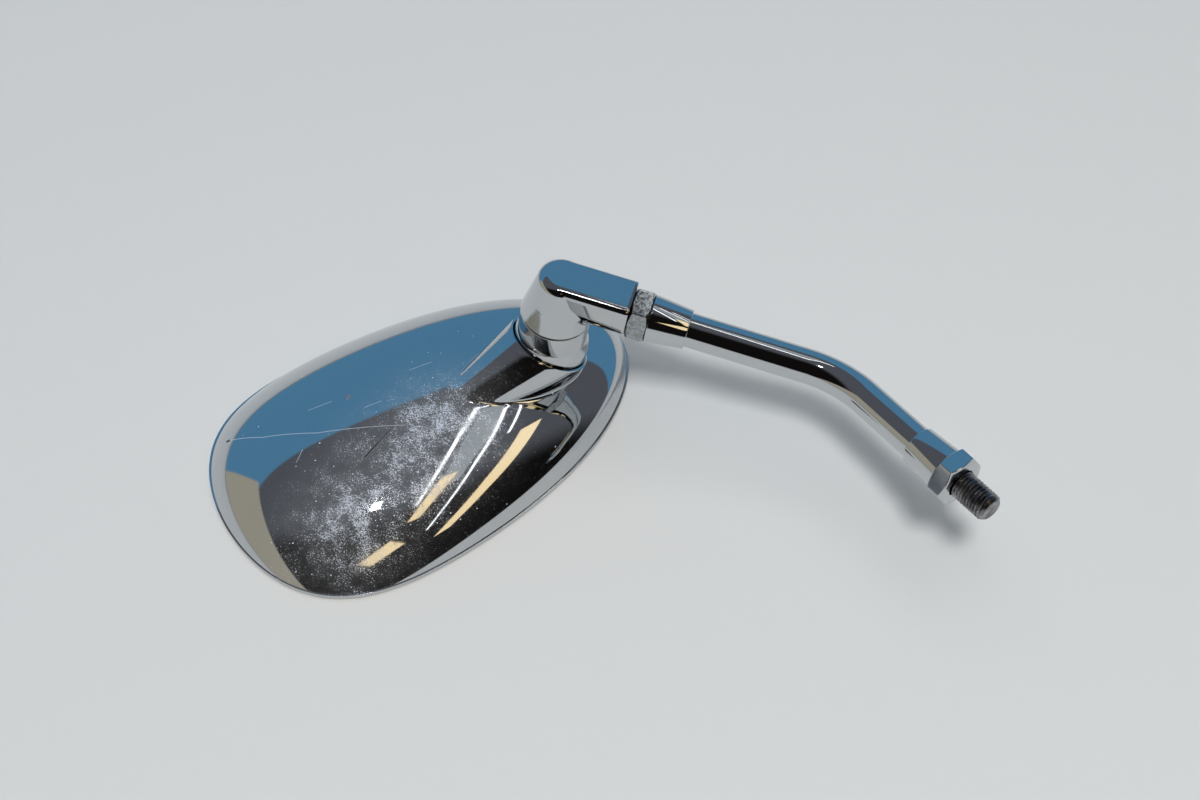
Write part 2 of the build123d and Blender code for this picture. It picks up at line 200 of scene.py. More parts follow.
near, far = np.zeros(shell_around), np.full(shell_around, 2 * half_length)
band_reach = halving(over_outline, near, far)
reach = halving(lambda r: over_outline(r) & (dome_place(r)[:, 2] > rim_height), near, far)
round_end = np.minimum(fairing_round, reach / 2)
bend_share = np.linspace(0, 1, 9)[:, None, None]
fairing_bend = (1 - bend_share) ** 2 * round_start + 2 * bend_share * (1 - bend_share) * crease
fairing_bend = fairing_bend + bend_share**2 * dome_place(round_end)
ramp_share = np.linspace(ramp_start, 1, 22)[:-1, None, None]
ramp = lip + ramp_share * (round_start - lip)
dome_steps = np.sin(np.linspace(0, np.pi / 2, 150)[1:])
dome = np.stack([dome_place(round_end + share * (reach - round_end)) for share in dome_steps])
rim_along, rim_across = crease_along + band_reach * spoke[:, 0], crease_across + band_reach * spoke[:, 1]


def rim_ring(inset, height):
    """Ring that follows the rim, drawn in by an inset and lifted to a height."""
    shrink_long, shrink_wide = 1 - inset / half_length, 1 - inset / half_width
    return head_point(rim_along * shrink_long, rim_across * shrink_wide, height)


lip_inset, edge_cut = shell_wall + rim_lip_reach, 0.3 * rim_edge
inner_base = rim_ring(inner_base_inset, rim_lip_height)
rim_rings = [
    rim_ring(rim_edge, rim_height),
    rim_ring(edge_cut, rim_height - edge_cut),
    rim_ring(0.0, rim_height - rim_edge),
    rim_ring(0.0, rim_edge),
    rim_ring(edge_cut, edge_cut),
    rim_ring(rim_edge, 0.0),
    rim_ring(lip_inset, 0.0),
    rim_ring(lip_inset, rim_lip_height),
    inner_base,
]

tilt_middle, back_limit = np.radians(7.5), 2.4
toward_cup = cup_axis - (cup_axis @ post_axis) * post_axis
middle_axis = post_axis + np.tan(tilt_middle) * toward_cup / np.linalg.norm(toward_cup)
middle_axis /= np.linalg.norm(middle_axis)
hole_down = cup_down - (cup_down @ middle_axis) * middle_axis
hole_down /= np.linalg.norm(hole_down)
hole_side = np.cross(middle_axis, hole_down)
hole_spread = np.cos(turn)[:, None] * hole_down + np.sin(turn)[:, None] * hole_side


def back_sphere(angle):
    """Places on the back of the cup at an angle from the hole's axis."""
    angle = np.broadcast_to(angle, shell_around)[:, None]
    return ball + cup_back_radius * (np.sin(angle) * hole_spread - np.cos(angle) * middle_axis)


def under_roof(angle):
    """True where the back of the cup is below the inside of the dome."""
    along, across, height = head_local(back_sphere(angle))
    return height < inner_height(along, across)


hole_edge = np.arcsin(cup_hole_radius / cup_back_radius)
leaves_back = halving(under_roof, np.full(shell_around, hole_edge), np.full(shell_around, back_limit))
back_top = back_sphere(leaves_back)
back_along, back_across, _ = head_local(back_top)
base_along, base_across, _ = head_local(inner_base)
inner_rings = []
for share in np.sin(np.linspace(0, np.pi / 2, 26))[::-1][1:-1]:
    inner_along = back_along + share * (base_along - back_along)
    inner_across = back_across + share * (base_across - back_across)
    height = np.maximum(inner_height(inner_along, inner_across), rim_lip_height)
    inner_rings.append(head_point(inner_along, inner_across, height))
back_rings = [back_sphere(leaves_back + share * (hole_edge - leaves_back)) for share in np.linspace(0, 1, 9)]
room_edge = ball + np.sqrt(cup_radius**2 - cup_hole_radius**2) * -middle_axis + cup_hole_radius * hole_spread
room_rise = -cup_lip_drop - cup_lip_depth
room_mouth = cup_circle(np.sqrt(cup_radius**2 - room_rise**2), room_rise)
room_rings = []
for share in np.linspace(0, 1, 10):
    outward = (1 - share) * (room_edge - ball) + share * (room_mouth - ball)
    room_rings.append(ball + cup_radius * outward / np.linalg.norm(outward, axis=1)[:, None])
mouth_rings = [
    cup_circle(cup_mouth_radius, room_rise),
    cup_circle(cup_mouth_radius, -cup_lip_drop - mouth_edge),
    cup_circle(cup_mouth_radius + mouth_edge, -cup_lip_drop),
    cup_circle(cup_lip_radius - lip_edge, -cup_lip_drop),
    cup_circle(cup_lip_radius - 0.3 * lip_edge, -cup_lip_drop - 0.2 * lip_edge),
]
shell_rings = np.concatenate([ramp, fairing_bend, dome, rim_rings, inner_rings, back_rings, room_rings, mouth_rings])
shell = grid_piece("head_shell", shell_rings[:, ::-1], closed=True)


def linear(code):
    """Linear colour of an sRGB hex code."""
    channels = np.array([int(code[i : i + 2], 16) for i in (1, 3, 5)]) / 255
    values = np.where(channels <= 0.04045, channels / 12.92, ((channels + 0.055) / 1.055) ** 2.4)
    return (*values.tolist(), 1.0)


def node(tree, kind, inputs=None, **settings):
    """Adds a node with its settings; inputs gives each socket a value, or another node's output to link."""
    made = tree.nodes.new(kind)
    for key, value in settings.items():
        setattr(made, key, value)
    for key, value in (inputs or {}).items():
        if isinstance(value, bpy.types.NodeSocket):
            tree.links.new(value, made.inputs[key])
        else:
            made.inputs[key].default_value = value
    return made


def new_material(name):
    """Empty node material and its tree; the caller adds the nodes."""
    made = bpy.data.materials.new(name)
    made.use_nodes = True
    made.node_tree.nodes.clear()
    return made, made.node_tree


def shade(tree, inputs):
    """Adds the surface shader with its inputs, and the material's output."""
    surface = node(tree, "ShaderNodeBsdfPrincipled", inputs)
    node(tree, "ShaderNodeOutputMaterial", {"Surface": surface.outputs[0]})


def mark_distance(tree, place, start, end):
    """Level distance from a straight mark between two places, in metres: the nearest point of the line is found from
    the share of its run that the place lies along, held between the two ends."""
    start, end = np.array([*start, 0.0]) * mm, np.array([*end, 0.0]) * mm
    run = end - start
    level = node(tree, "ShaderNodeVectorMath", {0: place, 1: (1.0, 1.0, 0.0)}, operation="MULTIPLY").outputs[0]
    away = node(tree, "ShaderNodeVectorMath", {0: level, 1: start}, operation="SUBTRACT").outputs[0]
    along_run = {0: away, 1: run / (run @ run)}
    share = node(tree, "ShaderNodeVectorMath", along_run, operation="DOT_PRODUCT").outputs["Value"]
    held = node(tree, "ShaderNodeMath", {0: share, 1: 1.0}, operation="MULTIPLY", use_clamp=True).outputs[0]
    nearest = node(tree, "ShaderNodeVectorMath", {0: run, "Scale": held}, operation="SCALE").outputs[0]
    return node(tree, "ShaderNodeVectorMath", {0: away, 1: nearest}, operation="DISTANCE").outputs["Value"]


def marks(tree, place, segments):
    """Mask of several marks, each a start, an end and a half-width in millimetres: the largest of their masks."""
    mask = None
    for start, end, half in segments:
        distance = mark_distance(tree, place, start, end)
        shade = {"Value": distance, "From Min": 1.5 * half * mm, "From Max": 0.5 * half * mm}
        drawn = node(tree, "ShaderNodeMapRange", shade).outputs[0]
        if mask is not None:
            drawn = node(tree, "ShaderNodeMath", {0: mask, 1: drawn}, operation="MAXIMUM").outputs[0]
        mask = drawn
    return mask


# Bright decorative chrome over polished zinc mirrors its surroundings almost sharply. Where the plating has broken
# through there are white salts in pits, thickest along the crown toward the wide end, with a thin grey film between
# them. The pits are drawn at about 0.4 mm, a little coarser than life, so that they show. The scratches show paler
# metal, the dash and the spot are black and dull, and one short tick is brown.
aged_chrome, tree = new_material("aged_bright_chrome_plate")
place = node(tree, "ShaderNodeTexCoord").outputs["Object"]
crown_line = mark_distance(tree, place, (-49.0, -7.0), (-83.0, -48.0))
crown_edges = {"Value": crown_line, "From Min": 34 * mm, "From Max": 1 * mm}
pit_zone = node(tree, "ShaderNodeMapRange", crown_edges, interpolation_type="SMOOTHSTEP").outputs[0]
cloud_size = {"Vector": place, "Scale": 1 / (7 * mm), "Detail": 5.0, "Roughness": 0.65}
cloud = node(tree, "ShaderNodeTexNoise", cloud_size).outputs["Fac"]
cloud = node(tree, "ShaderNodeMapRange", {"Value": cloud, "From Min": 0.3, "From Max": 0.66}).outputs[0]
density = node(tree, "ShaderNodeMath", {0: cloud, 1: pit_zone}, operation="MULTIPLY").outputs[0]
fine_size = {"Vector": place, "Scale": 1 / (0.42 * mm), "Detail": 2.0, "Roughness": 0.6}
fine = node(tree, "ShaderNodeTexNoise", fine_size).outputs["Fac"]
raised = node(tree, "ShaderNodeMath", {0: density, 1: 0.34, 2: fine}, operation="MULTIPLY_ADD").outputs[0]
pit_edges = {"Value": raised, "From Min": 0.66, "From Max": 0.88, "To Max": 0.75}
pits = node(tree, "ShaderNodeMapRange", pit_edges).outputs[0]
cells = node(tree, "ShaderNodeTexVoronoi", {"Vector": place, "Scale": 1 / (1.1 * mm)})
drawn = node(tree, "ShaderNodeSeparateColor", {"Color": cells.outputs["Color"]})
wanted = node(tree, "ShaderNodeMath", {0: pit_zone, 1: 0.2, 2: 0.006}, operation="MULTIPLY_ADD").outputs[0]
chosen = node(tree, "ShaderNodeMath", {0: drawn.outputs["Red"], 1: wanted}, operation="LESS_THAN").outputs[0]
size = node(tree, "ShaderNodeMath", {0: drawn.outputs["Green"], 1: 0.16, 2: 0.07}, operation="MULTIPLY_ADD").outputs[0]
spot = node(tree, "ShaderNodeMath", {0: cells.outputs["Distance"], 1: size}, operation="LESS_THAN").outputs[0]
spots = node(tree, "ShaderNodeMath", {0: chosen, 1: spot}, operation="MULTIPLY").outputs[0]
pits = node(tree, "ShaderNodeMath", {0: pits, 1: spots}, operation="MAXIMUM").outputs[0]
film = node(tree, "ShaderNodeMath", {0: cloud, 1: 0.1, 2: 0.07}, operation="MULTIPLY_ADD").outputs[0]
film = node(tree, "ShaderNodeMath", {0: film, 1: pit_zone}, operation="MULTIPLY").outputs[0]
scratches = marks(
    tree,
    place,
    [
        ((-126.1, -4.2), (-112.5, -8.8), 0.16),
        ((-112.5, -8.8), (-92.6, -11.2), 0.15),
        ((-92.6, -11.2), (-62.3, -9.5), 0.14),
        ((-96.6, -0.7), (-88.5, 2.0), 0.1),
        ((-76.8, -1.9), (-70.9, 0.6), 0.1),
        ((-62.1, 14.4), (-54.6, 18.0), 0.1),
        ((-99.0, -21.9), (-97.1, -17.1), 0.12),
    ],
)
scuffs = marks(
    tree,
    place,
    [
        ((-75.4, -21.8), (-71.0, -16.2), 0.32),
        ((-71.0, -16.2), (-67.1, -11.2), 0.2),
        ((-126.4, -4.1), (-125.6, -4.4), 0.45),
    ],
)
rust = marks(tree, place, [((-83.0, 2.6), (-82.6, 4.0), 0.3)])
pale = node(tree, "ShaderNodeMath", {0: scratches, 1: 0.5}, operation="MULTIPLY").outputs[0]
broken = node(tree, "ShaderNodeMath", {0: pits, 1: pale}, operation="MAXIMUM").outputs[0]
marked = node(tree, "ShaderNodeMath", {0: scuffs, 1: rust}, operation="MAXIMUM").outputs[0]
bare = node(tree, "ShaderNodeMath", {0: broken, 1: marked}, operation="MAXIMUM").outputs[0]
haze = node(tree, "ShaderNodeMath", {0: density, 1: 0.05, 2: 0.03}, operation="MULTIPLY_ADD").outputs[0]
pit_rough = node(tree, "ShaderNodeMath", {0: bare, 1: 0.45, 2: haze}, operation="MULTIPLY_ADD").outputs[0]
filmed = node(tree, "ShaderNodeMath", {0: bare, 1: film}, operation="MAXIMUM").outputs[0]
metal = node(tree, "ShaderNodeMath", {0: filmed, 1: -0.85, 2: 1.0}, operation="MULTIPLY_ADD").outputs[0]
pit_tint = {"Factor": broken, 6: linear("#c5c8cb"), 7: linear("#dbe3f4")}
tint = node(tree, "ShaderNodeMix", pit_tint, data_type="RGBA").outputs[2]
tint = node(tree, "ShaderNodeMix", {"Factor": scuffs, 6: tint, 7: linear("#141416")}, data_type="RGBA").outputs[2]
tint = node(tree, "ShaderNodeMix", {"Factor": rust, 6: tint, 7: linear("#8a5a34")}, data_type="RGBA").outputs[2]
shade(tree, {"Base Color": tint, "Metallic": metal, "Roughness": pit_rough})
shell.data.materials.append(aged_chrome)
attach(shell, "head")
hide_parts("mirror_shell")

# Mirror glass. Convex float glass, bent in a mould, silvered on its back and held in a rubber channel.
# It mirrors almost sharply, and wiping has left it a few faint smears about 30 mm long.
silvered_glass, tree = new_material("silvered_convex_glass")
place = node(tree, "ShaderNodeTexCoord").outputs["Object"]
wiping_way = {"Vector": place, "Rotation": (0.0, 0.0, 0.6), "Scale": (1.0, 5.0, 1.0)}
wiped = node(tree, "ShaderNodeMapping", wiping_way).outputs[0]
smear = node(tree, "ShaderNodeTexNoise", {"Vector": wiped, "Scale": 1 / (30 * mm), "Detail": 4.0}).outputs["Fac"]
wiping = {"Value": smear, "From Min": 0.45, "From Max": 0.75, "To Min": 0.01, "To Max": 0.06}
gloss = node(tree, "ShaderNodeMapRange", wiping).outputs[0]
shade(tree, {"Base Color": linear("#dfe3e4"), "Metallic": 1.0, "Roughness": gloss})


def dress(name, finish):
    """Gives a solid that is shown as it was built its finish in place of the plain colour."""
    mesh = frame["nodes"][name].data
    mesh.materials.clear()
    mesh.materials.append(finish)


dress("mirror_glass", silvered_glass)

# Glass gasket. A moulded channel of black rubber round the edge of the glass, pressed in behind the rim. Its top
# follows the inside of the dome. Moulded rubber is matt and nearly black, with a fine skin.
gasket_outer, gasket_lean, gasket_inner, gasket_top = 2.1, 0.5, 6.8, 5.8
roof_gap, gasket_thinnest = 0.15, 0.1


def under_roof_ring(inset):
    """Ring drawn in from the rim by an inset, at the gasket's top, or a gap below the shell's inside if that is
    lower."""
    along, across, _ = head_local(rim_ring(inset, 0.0))
    roof = inner_height(along, across) - roof_gap
    return rim_ring(inset, np.clip(roof, rim_lip_height + gasket_thinnest, gasket_top))


gasket_rings = [
    rim_ring(gasket_inner, rim_lip_height),
    rim_ring(gasket_outer, rim_lip_height),
    under_roof_ring(gasket_outer + gasket_lean),
    under_roof_ring(gasket_inner),
]
gasket = grid_piece("glass_gasket", np.stack(gasket_rings), closed=True)
black_rubber, tree = new_material("black_moulded_rubber")
place = node(tree, "ShaderNodeTexCoord").outputs["Object"]
grain = node(tree, "ShaderNodeTexNoise", {"Vector": place, "Scale": 1 / (0.6 * mm), "Detail": 3.0}).outputs["Fac"]
skin = node(tree, "ShaderNodeBump", {"Height": grain, "Strength": 0.2, "Distance": 0.05 * mm}).outputs[0]
shade(tree, {"Base Color": linear("#1d1d1e"), "Roughness": 0.6, "Normal": skin})
gasket.data.materials.append(black_rubber)
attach(gasket, "head")
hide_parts("glass_gasket")

# Backing pad. A die-cut sheet of grey closed-cell foam on the back of the glass, open under the pivot, that keeps
# the glass from rattling. It is dull, with bubbles of about 0.8 mm.
foam, tree = new_material("grey_closed_cell_foam")
place = node(tree, "ShaderNodeTexCoord").outputs["Object"]
bubbles = node(tree, "ShaderNodeTexVoronoi", {"Vector": place, "Scale": 1 / (0.8 * mm)}).outputs["Distance"]
cells = node(tree, "ShaderNodeBump", {"Height": bubbles, "Strength": 0.5, "Distance": 0.15 * mm}).outputs[0]
shade(tree, {"Base Color": linear("#5b5b5a"), "Roughness": 0.92, "Normal": cells})
dress("backing_pad", foam)

# Friction liner. A moulded zone of black nylon between the ball and the cup, which gives the joint its even drag.
# It is black with a low sheen, rubbed brighter in patches.
nylon, tree = new_material("black_moulded_nylon")
place = node(tree, "ShaderNodeTexCoord").outputs["Object"]
rubbed = node(tree, "ShaderNodeTexNoise", {"Vector": place, "Scale": 1 / (1.5 * mm), "Detail": 3.0}).outputs["Fac"]
gloss = node(tree, "ShaderNodeMapRange", {"Value": rubbed, "To Min": 0.35, "To Max": 0.6}).outputs[0]
shade(tree, {"Base Color": linear("#1b1b1c"), "Roughness": gloss})
dress("friction_liner", nylon)

# Dished washer, disc springs and flat washer. Pressed from spring steel and stacked on the bolt behind the cup. The
# dished one slides on the back of the cup, and its rim stays under the dome at the ends of the tilt. Oil leaves the
# grey steel patchy, with a soft sheen.
dish_radius, dish_base, dish_land, dish_hole, dish_rim = 16.4, 17.6, 6.6, 3.1, np.radians(29.0)


def lathe(origin, axis, start, profile, around):
    """Rings of a solid of revolution: each profile point is a radius and a height along the axis."""
    angle = np.linspace(0, 2 * np.pi, around, endpoint=False)
    start = start - (start @ axis) * axis
    start = start / np.linalg.norm(start)
    spread = np.cos(angle)[:, None] * start + np.sin(angle)[:, None] * np.cross(axis, start)
    return origin + profile[:, 1, None, None] * axis + profile[:, 0, None, None] * spread


dish_angle = np.linspace(np.arcsin(dish_hole / dish_radius), dish_rim, 24)
dish_face = dish_radius * np.stack([np.sin(dish_angle), -np.cos(dish_angle)], axis=1)
dish_corner = (dish_base * np.sin(dish_rim), -dish_base * np.cos(dish_rim))
dish_edge = [dish_corner, (dish_land, -dish_base), (dish_hole, -dish_base)]
dish_profile = np.concatenate([dish_face, dish_edge])
dish = grid_piece("dished_washer", lathe(ball, post_axis, long_axis, dish_profile, 120)[:, ::-1], closed=True)
spring_steel, tree = new_material("oiled_spring_steel")
place = node(tree, "ShaderNodeTexCoord").outputs["Object"]
oil = node(tree, "ShaderNodeTexNoise", {"Vector": place, "Scale": 1 / (3 * mm), "Detail": 4.0}).outputs["Fac"]
oil_tint = {"Factor": oil, 6: linear("#6f6b66"), 7: linear("#a39f99")}
tint = node(tree, "ShaderNodeMix", oil_tint, data_type="RGBA").outputs[2]
gloss = node(tree, "ShaderNodeMapRange", {"Value": oil, "To Min": 0.25, "To Max": 0.45}).outputs[0]
shade(tree, {"Base Color": tint, "Metallic": 1.0, "Roughness": gloss})
dish.data.materials.append(spring_steel)
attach(dish, "spring_pack")
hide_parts("dished_washer")
for name in ("disc_springs", "spring_washer"):
    dress(name, spring_steel)

# Pivot bolt. A zinc-plated hexagon bolt, put in from inside the head, through the springs, cup and ball into the
# elbow. Dull zinc plate has a grey bloom about a millimetre wide, with paler specks.
spotted_zinc, tree = new_material("dull_spotted_zinc_plate")
place = node(tree, "ShaderNodeTexCoord").outputs["Object"]
bloom_size = {"Vector": place, "Scale": 1 / (1.1 * mm), "Detail": 5.0, "Roughness": 0.7}
bloom = node(tree, "ShaderNodeTexNoise", bloom_size).outputs["Fac"]
tint = node(tree, "ShaderNodeValToRGB", {"Fac": bloom})
tint.color_ramp.elements[0].position, tint.color_ramp.elements[0].color = 0.38, linear("#83878a")
tint.color_ramp.elements[1].position, tint.color_ramp.elements[1].color = 0.72, linear("#c0c4c4")
dulling = {"Value": bloom, "From Min": 0.35, "From Max": 0.75, "To Min": 0.05, "To Max": 0.16}
dull = node(tree, "ShaderNodeMapRange", dulling).outputs[0]
grain = node(tree, "ShaderNodeBump", {"Height": bloom, "Strength": 0.12, "Distance": 0.03 * mm}).outputs[0]
shade(tree, {"Base Color": tint.outputs["Color"], "Metallic": 1.0, "Roughness": dull, "Normal": grain})
dress("pivot_bolt", spotted_zinc)

# Pivot ball. Turned from steel and chromed: a sphere that sits in the cup, with a straight collar under the elbow.
# The bolt runs through it and pulls it into the cup.
post_base, washer_thickness = 16.4, 0.8
arm_axis = np.array(joints["stem_turn"]["axis"])
side_axis = np.cross(post_axis, arm_axis)


def eased(points, radius, steps=6):
    """Profile with each corner replaced by a short curve that starts and ends a radius away along its sides, or
    at most nearly half of a side away."""
    longest = 0.45
    before, after = np.roll(points, 1, axis=0), np.roll(points, -1, axis=0)
    share = np.linspace(0, 1, steps)[:, None, None]
    radius = np.broadcast_to(radius, len(points))[:, None]
    back, on = before - points, after - points
    back_long, on_long = np.linalg.norm(back, axis=1)[:, None], np.linalg.norm(on, axis=1)[:, None]
    start = points + back * np.minimum(radius / back_long, longest)
    end = points + on * np.minimum(radius / on_long, longest)
    curve = (1 - share) ** 2 * start + 2 * share * (1 - share) * points + share**2 * end
    return curve.transpose(1, 0, 2).reshape(-1, 2)


ball_radius, ball_flat, collar_radius, collar_edge, bolt_bore = 13.6, 11.0, 12.2, 0.4, 3.1
collar_top = post_base - washer_thickness
zone = np.linspace(-np.arcsin(ball_flat / ball_radius), np.arccos(collar_radius / ball_radius), 60)
sphere_part = ball_radius * np.stack([np.cos(zone), np.sin(zone)], axis=1)
collar_part = eased(
    np.array(
        [
            (collar_radius, sphere_part[-1, 1]),
            (collar_radius, collar_top),
            (bolt_bore, collar_top),
            (bolt_bore, -ball_flat),
            (sphere_part[0, 0], -ball_flat),
        ]
    ),
    np.array([0.01, collar_edge, 0.2, 0.2, 0.01]),
)
ball_profile = np.concatenate([sphere_part, collar_part[3:-3]])
pivot = grid_piece("pivot_ball", lathe(ball, post_axis, arm_axis, ball_profile, 240), closed=True)

# Bright chrome plate on steel mirrors sharply, apart from the faint streaks that wiping and polishing leave.
bright_chrome, tree = new_material("bright_chrome_plate")
place = node(tree, "ShaderNodeTexCoord").outputs["Object"]
smear = node(tree, "ShaderNodeTexNoise", {"Vector": place, "Scale": 1 / (6 * mm), "Detail": 3.0}).outputs["Fac"]
streaks = {"Value": smear, "From Min": 0.35, "From Max": 0.75, "To Min": 0.03, "To Max": 0.075}
gloss = node(tree, "ShaderNodeMapRange", streaks).outputs[0]
shade(tree, {"Base Color": linear("#c5c8cb"), "Metallic": 1.0, "Roughness": gloss})
pivot.data.materials.append(bright_chrome)
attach(pivot, "elbow")
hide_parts("pivot_ball")

# Elbow washer. A thin ring of the same black nylon, clamped between the ball's collar and the elbow.
# Its edge lies back a little, so that it is seen only as a dark line.
dress("elbow_washer", nylon)

# Elbow. One chromed zinc die-casting: a tapered round post that ends in a flat top, and a flat-topped arm with a
# round belly. It is filleted where the arm leaves the post, and the bolt and the stem's stud screw into it.
arm_height, arm_length, arm_half_width, arm_top = 27.9, 24.9, 8.0, 8.5
post_base_radius, elbow_edge, top_edge = 12.4, 0.4, 2.6
arm_end_edge, crease_blend, least_blend, blend_rise, blend_run = 0.6, 3.2, 0.01, 2.5, 6.0
elbow_bolt_bore, elbow_bolt_depth, stud_bore, elbow_stud_depth = 3.05, 9.1, 5.05, 15.0
foot_ease, arm_end_ease, arm_end_cut, elbow_reach = 0.12, 0.15, 0.18, 45.0
post_top = arm_height + arm_top
post_slope = (arm_half_width - post_base_radius) / (post_top - post_base - elbow_edge)


def elbow_depth(x, y, z):
    """Signed distance to the elbow, negative inside: the smaller of the distances to the tapered post and to the
    arm, run together by a smooth minimum under the arm, cut by the flat top with a round edge."""
    post = (np.hypot(x, y) - post_base_radius - post_slope * (z - post_base - elbow_edge)) / np.hypot(1, post_slope)
    plan = np.hypot(np.minimum(x, 0), y)
    arm = np.hypot(plan, np.minimum(z - arm_height, 0)) - arm_half_width
    fade = np.clip((arm_height + blend_rise - z) / blend_run, 0, 1)
    blend = least_blend + crease_blend * fade * fade * (3 - 2 * fade)
    mixed = np.clip(blend - np.abs(post - arm), 0, None) / blend
    side = np.minimum(post, arm) - mixed**2 * blend / 4
    top = z - post_top
    corner = np.hypot(np.maximum(side + top_edge, 0), np.maximum(top + top_edge, 0))
    return np.minimum(np.maximum(side, top), -top_edge) + corner


def elbow_ring(centre, first, inset=0.0):
    """Closed section of the elbow in the plane of one direction and the side axis: along each ray from the centre
    the surface, or the one an inset below it, is found by halving."""
    direction = np.cos(elbow_turn)[:, None] * first + np.sin(elbow_turn)[:, None] * sideways

    def inside(r):
        x, y, z = (centre + r[:, None] * direction).T
        return elbow_depth(x, y, z) < -inset

    reached = halving(inside, np.zeros(elbow_around), np.full(elbow_around, elbow_reach))
    return centre + reached[:, None] * direction


elbow_around = 280
elbow_turn = np.linspace(0, 2 * np.pi, elbow_around, endpoint=False)
hinge_x, hinge_z = 15.0, 18.2
back, sideways, rise = np.array([-1.0, 0.0, 0.0]), np.array([0.0, 1.0, 0.0]), np.array([0.0, 0.0, 1.0])
level_circle = np.cos(elbow_turn)[:, None] * back + np.sin(elbow_turn)[:, None] * sideways
upright_circle = np.cos(elbow_turn)[:, None] * rise + np.sin(elbow_turn)[:, None] * sideways
rings = [
    elbow_bolt_bore * level_circle + (post_base + elbow_bolt_depth) * rise,
    elbow_bolt_bore * level_circle + post_base * rise,
    (post_base_radius - elbow_edge) * level_circle + post_base * rise,
    (post_base_radius - foot_ease) * level_circle + (post_base + foot_ease) * rise,
]
rings += [elbow_ring(z * rise, back) for z in np.linspace(post_base + elbow_edge, hinge_z, 6)[:-1]]
for tilt in np.linspace(0, np.pi / 2, 170):
    outward = np.cos(tilt) * back + np.sin(tilt) * rise
    far = 1 / np.hypot(np.cos(tilt) / hinge_x, np.sin(tilt) / (arm_height - hinge_z))
    rings.append(elbow_ring(np.array([hinge_x, 0.0, hinge_z]) + far * outward, outward))
for x in np.linspace(hinge_x, arm_length - arm_end_edge, 16)[1:]:
    rings.append(elbow_ring(np.array([x, 0.0, arm_height]), rise))
rings.append(elbow_ring(np.array([arm_length - arm_end_ease, 0.0, arm_height]), rise, arm_end_cut))
rings.append(elbow_ring(np.array([arm_length, 0.0, arm_height]), rise, arm_end_edge))
rings.append(np.array([arm_length, 0.0, arm_height]) + stud_bore * upright_circle)
rings.append(np.array([arm_length - elbow_stud_depth, 0.0, arm_height]) + stud_bore * upright_circle)
local = np.stack(rings)
elbow_rings = ball + local[..., 0:1] * arm_axis + local[..., 1:2] * side_axis + local[..., 2:3] * post_axis
elbow = grid_piece("elbow", elbow_rings[:, ::-1], caps=(True, True), sharp=28.0)
elbow.data.materials.append(bright_chrome)
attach(elbow, "elbow")
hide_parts("elbow")

# Elbow stud. A dark steel stud with a rolled thread, fast in the stem, through the jam nut into the elbow.
# Dark oxide on rolled steel is a dark, half-dull grey, with stains of a few millimetres where it is rubbed paler.
dark_steel, tree = new_material("dark_oxide_rolled_thread")
place = node(tree, "ShaderNodeTexCoord").outputs["Object"]
stain = node(tree, "ShaderNodeTexNoise", {"Vector": place, "Scale": 1 / (2.5 * mm), "Detail": 4.0}).outputs["Fac"]
tint = node(tree, "ShaderNodeValToRGB", {"Fac": stain})
tint.color_ramp.elements[0].position, tint.color_ramp.elements[0].color = 0.35, linear("#5d5b5e")
tint.color_ramp.elements[1].position, tint.color_ramp.elements[1].color = 0.7, linear("#a5a3a7")
shade(tree, {"Base Color": tint.outputs["Color"], "Metallic": 1.0, "Roughness": 0.3})
dress("elbow_stud", dark_steel)

# Jam nut. A hexagon nut of 17 mm in dull, spotted zinc plate, turned from bar and chamfered at both ends.
# Tightened against the elbow, it locks the stem.
hex_flats, hex_chamfer, hex_corner_round, hex_edge_round, bore_chamfer = 17.0, 0.55, 0.35, 0.12, 0.3
jam_nut_start, jam_nut_length, jam_nut_turn = 25.0, 6.8, 41.0
stem_point = ball + arm_height * post_axis


def hexagon_nut(name, origin, axis, start, length, rotation, bore):
    """Nut as rings: at each angle the hexagon's radius is half the flats over the cosine of the angle from the
    middle of the flat, its corners rounded, and a 30 degree cone cuts both ends."""
    half = hex_flats / 2
    flat_end = np.arctan((half - hex_corner_round) * np.tan(np.pi / 6) / half)
    round_part = np.linspace(flat_end, np.pi / 3 - flat_end, 9)[1:-1]
    sector = np.concatenate([np.linspace(-flat_end, flat_end, 25), round_part])
    angle = (np.arange(6)[:, None] * np.pi / 3 + sector).ravel()
    from_flat = np.abs((angle + np.pi / 6) % (np.pi / 3) - np.pi / 6)
    corner = (half - hex_corner_round) / np.cos(np.pi / 6)
    from_corner = np.pi / 6 - from_flat
    beyond = np.clip(hex_corner_round**2 - (corner * np.sin(from_corner)) ** 2, 0, None)
    rounded = corner * np.cos(from_corner) + np.sqrt(beyond)
    outside = np.where(from_flat <= flat_end, half / np.cos(from_flat), rounded)
    land = half - hex_chamfer
    drop = (outside - land) * np.tan(np.pi / 6)
    same = np.ones_like(angle)
    ease, bore_edge = hex_edge_round, bore + bore_chamfer
    radii = [bore, bore, bore_edge, land - ease, land + 0.6 * ease, outside - ease, outside]
    radii += [outside, outside - ease, land + 0.6 * ease, land - ease, bore_edge]
    lift = ease * np.tan(np.pi / 6)
    heights = [length - bore_chamfer, bore_chamfer, 0, 0, 0.6 * lift, drop - lift, drop + ease]
    heights += [length - drop - ease, length - drop + lift, length - 0.6 * lift, length, length]
    radius = np.stack([same * r for r in radii])
    height = np.stack([same * h for h in heights])
    first = start - (start @ axis) * axis
    first = first / np.linalg.norm(first)
    turned = angle + np.radians(rotation)
    spread = np.cos(turned)[:, None] * first + np.sin(turned)[:, None] * np.cross(axis, first)
    return grid_piece(name, origin + height[..., None] * axis + radius[..., None] * spread, closed=True, sharp=20.0)


